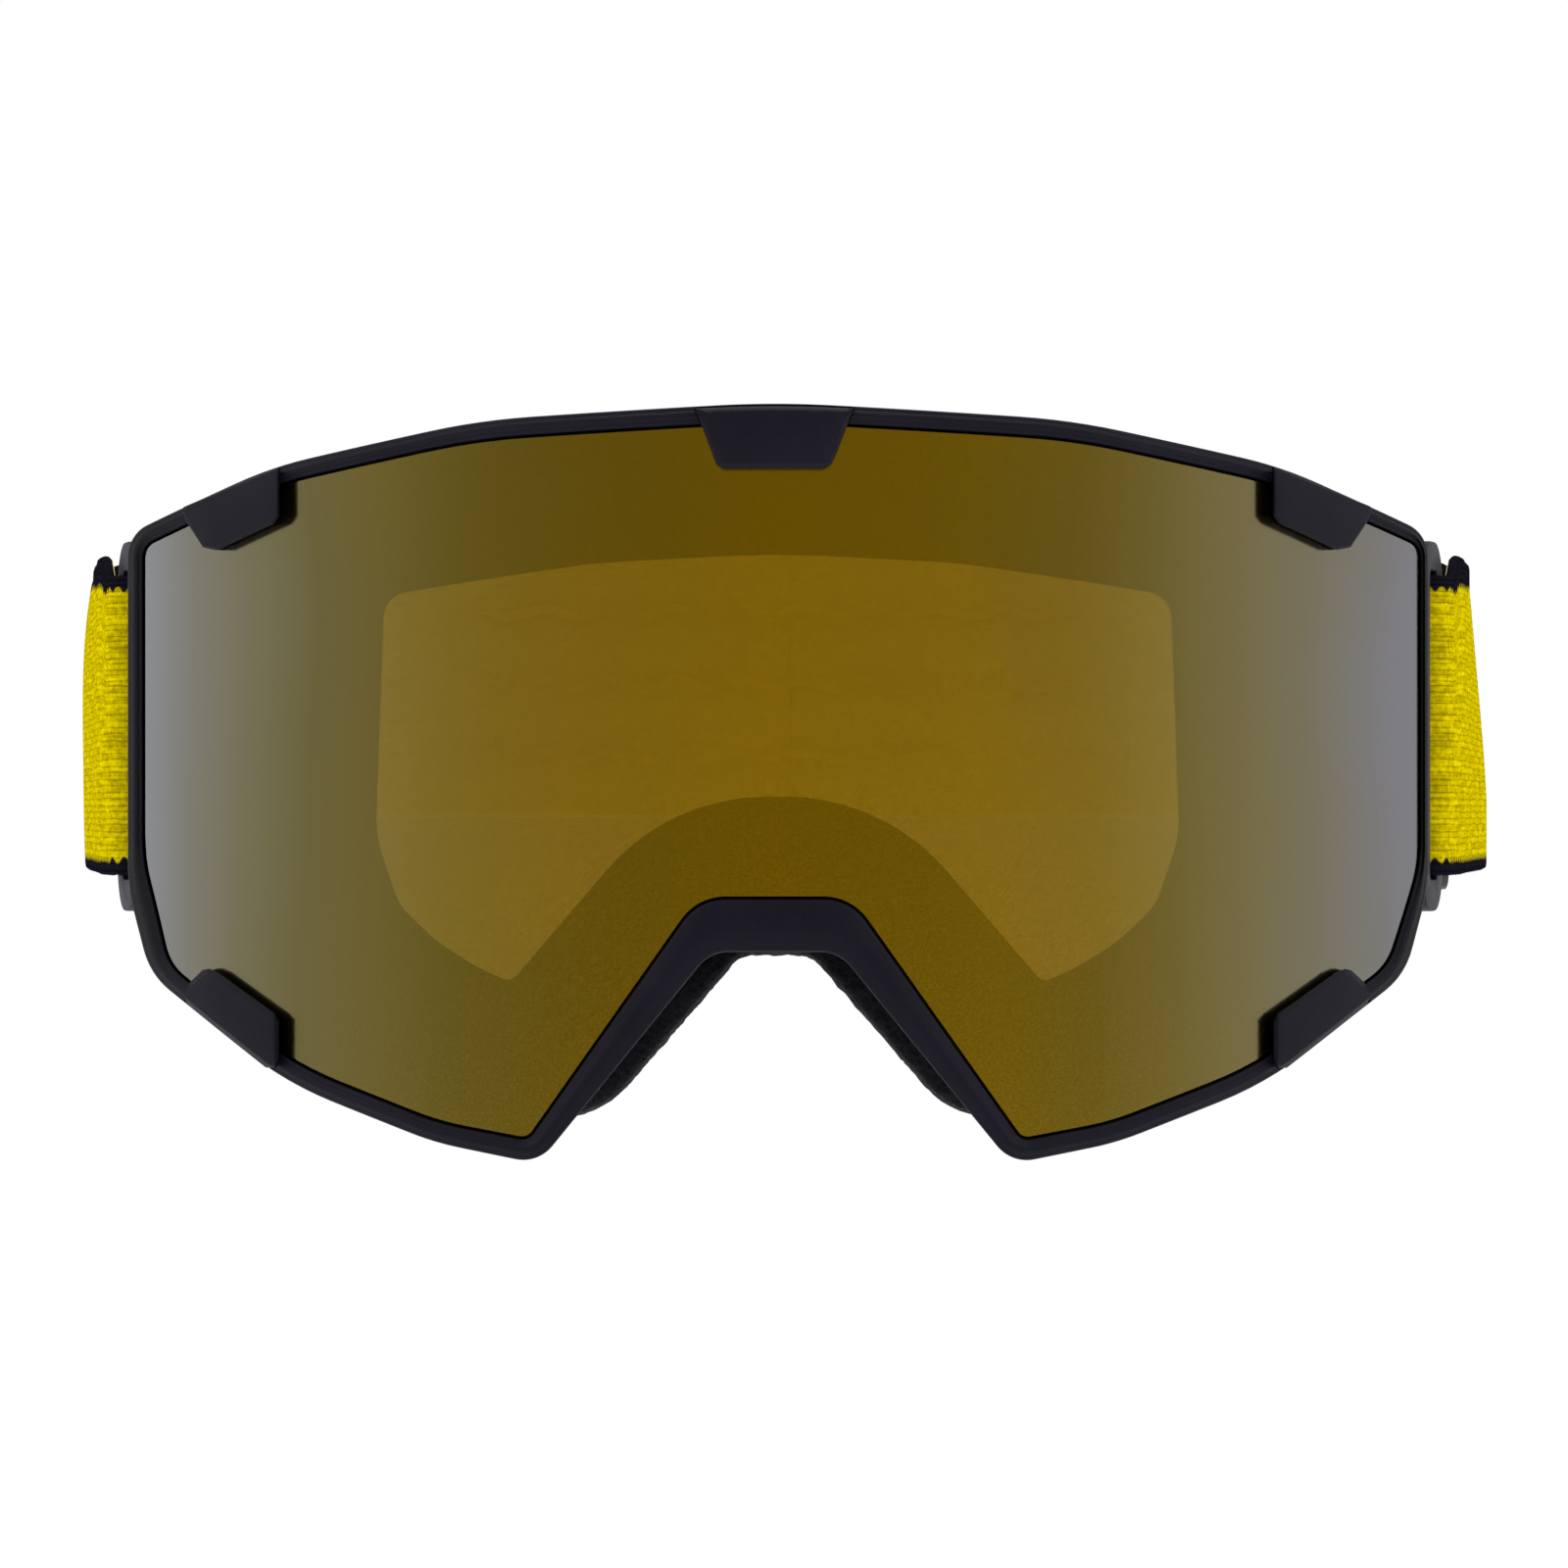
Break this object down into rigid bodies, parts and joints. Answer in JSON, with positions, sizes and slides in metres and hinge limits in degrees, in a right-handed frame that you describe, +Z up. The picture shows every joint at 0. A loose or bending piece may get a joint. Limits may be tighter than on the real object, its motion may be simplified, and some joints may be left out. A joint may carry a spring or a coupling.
{
  "type": "ski goggles",
  "caption": "Ski goggles with a cylindrical mirrored lens held by raised clips, layered face foam, hinged outriggers and a wide adjustable strap.",
  "frame": {"origin": "on the mid-plane, where the brow foam meets the face, at the middle of the face opening's height", "axes": "+X to the viewer's right when looking at the lens, +Y from the lens towards the back of the head, +Z up"},
  "size_m": [0.2148, 0.2765, 0.097],
  "materials": {
    "frame": "matte black moulded polyurethane",
    "clip": "satin black moulded nylon",
    "lens_mirror": "gold mirror coating on amber polycarbonate",
    "lens_clear": "clear amber tinted acetate sheet",
    "foam": "open-cell polyurethane foam",
    "fleece": "brushed fleece",
    "outrigger": "satin grey moulded nylon",
    "steel": "plain steel pin",
    "strap": "knitted elastic, yellow with black edges",
    "grip": "clear silicone printed on the strap",
    "slider": "black moulded acetal"
  },
  "bodies": {
    "goggle": {"frame_body": "frame", "outer_rim": "frame", "clip_top": "clip", "clip_upper_left": "clip", "clip_upper_right": "clip", "clip_lower_left": "clip", "clip_lower_right": "clip", "outer_lens": "lens_mirror", "lens_gasket": "foam", "inner_lens": "lens_clear", "foam_base": "foam", "foam_middle": "foam", "foam_fleece": "fleece", "vent_foam_top": "foam", "vent_foam_left": "foam", "vent_foam_right": "foam", "hinge_lug_left": "frame", "hinge_lug_right": "frame", "hinge_pin_left": "steel", "hinge_pin_right": "steel", "strap_return_left": "strap", "strap_return_right": "strap", "strap_band": "strap", "grip_strip_lower": "grip", "grip_strip_middle": "grip", "grip_strip_upper": "grip"},
    "outrigger_left": {"outrigger_left": "outrigger", "strap_loop_left": "strap"},
    "outrigger_right": {"outrigger_right": "outrigger", "strap_loop_right": "strap"},
    "adjuster_left": {"slider_left": "slider", "strap_tail_left": "strap"},
    "adjuster_right": {"slider_right": "slider", "strap_tail_right": "strap"}
  },
  "joints": [
    {"name": "outrigger_left_hinge", "type": "hinge", "parent": "goggle", "child": "outrigger_left", "pos_m": [-0.085, 0.0095, 0.008], "axis": [0, 0, 1], "range_deg": [-8, 20]},
    {"name": "outrigger_right_hinge", "type": "hinge", "parent": "goggle", "child": "outrigger_right", "pos_m": [0.085, 0.0095, 0.008], "axis": [0, 0, -1], "range_deg": [-8, 20]},
    {"name": "adjuster_left_slide", "type": "slide", "parent": "goggle", "child": "adjuster_left", "axis": [0.2074, 0.9783, 0], "range_m": [-0.007, 0.023]},
    {"name": "adjuster_right_slide", "type": "slide", "parent": "goggle", "child": "adjuster_right", "axis": [-0.2074, 0.9783, 0], "range_m": [-0.007, 0.023]}
  ]
}
